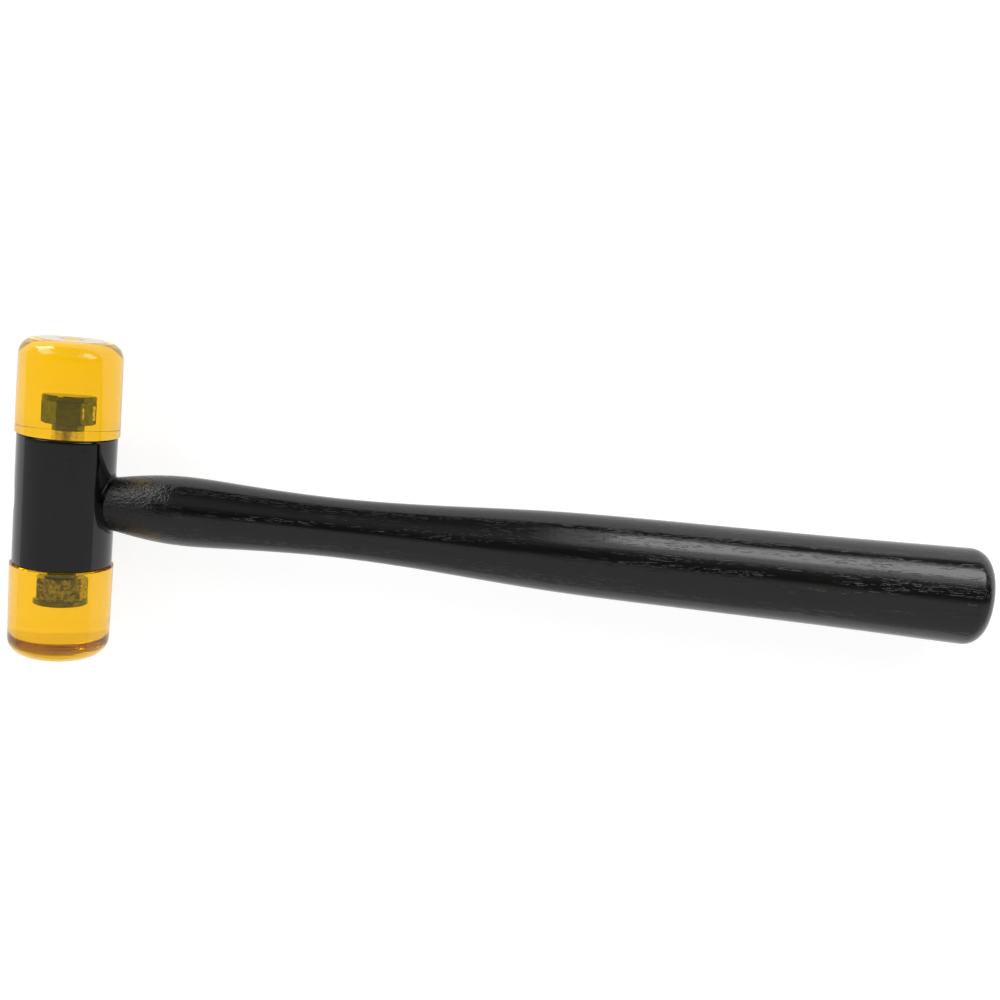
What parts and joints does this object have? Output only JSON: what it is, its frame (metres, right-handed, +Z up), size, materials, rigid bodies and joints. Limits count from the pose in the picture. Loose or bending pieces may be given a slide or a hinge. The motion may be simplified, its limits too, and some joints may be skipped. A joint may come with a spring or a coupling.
{
  "type": "soft-face hammer",
  "caption": "Soft-face hammer with a steel head body, screw-on clear plastic striking tips and a turned wooden handle.",
  "frame": {"origin": "middle of the bounding box at floor level, with the hammer lying on its side on both tips", "axes": "+X along the handle from the head to the butt, +Y along the head's axis to the upper tip, +Z up"},
  "size_m": [0.2962, 0.0966, 0.0304],
  "materials": {
    "black_enamel": "gloss black enamel",
    "black_lacquered_wood": "black lacquer over open grain",
    "plain_wood": "bare",
    "bare_steel": "turned, oiled",
    "amber_plastic": "clear, polished"
  },
  "bodies": {
    "hammer": {"head_body": "black_enamel", "handle": "black_lacquered_wood", "wood_wedge": "plain_wood", "steel_wedge": "bare_steel"},
    "upper_screw": {"upper_stud": "bare_steel"},
    "upper_tip": {"upper_face_tip": "amber_plastic", "upper_tip_insert": "bare_steel"},
    "lower_screw": {"lower_stud": "bare_steel"},
    "lower_tip": {"lower_face_tip": "amber_plastic", "lower_tip_insert": "bare_steel"}
  },
  "joints": [
    {"name": "upper_tip_travel", "type": "slide", "parent": "hammer", "child": "upper_screw", "axis": [0, 1, 0], "range_m": [0, 0.0102]},
    {"name": "upper_tip_turn", "type": "hinge", "parent": "upper_screw", "child": "upper_tip", "pos_m": [-0.1329, 0, 0.0152], "axis": [0, 1, 0], "range_deg": [0, 2880]},
    {"name": "lower_tip_travel", "type": "slide", "parent": "hammer", "child": "lower_screw", "axis": [0, -1, 0], "range_m": [0, 0.0102]},
    {"name": "lower_tip_turn", "type": "hinge", "parent": "lower_screw", "child": "lower_tip", "pos_m": [-0.1329, 0, 0.0152], "axis": [0, -1, 0], "range_deg": [0, 2880]}
  ],
  "couplings": [
    {"joint": "upper_tip_travel", "follows": "upper_tip_turn", "m_per_rad": 0.00020213},
    {"joint": "lower_tip_travel", "follows": "lower_tip_turn", "m_per_rad": 0.00020213}
  ]
}
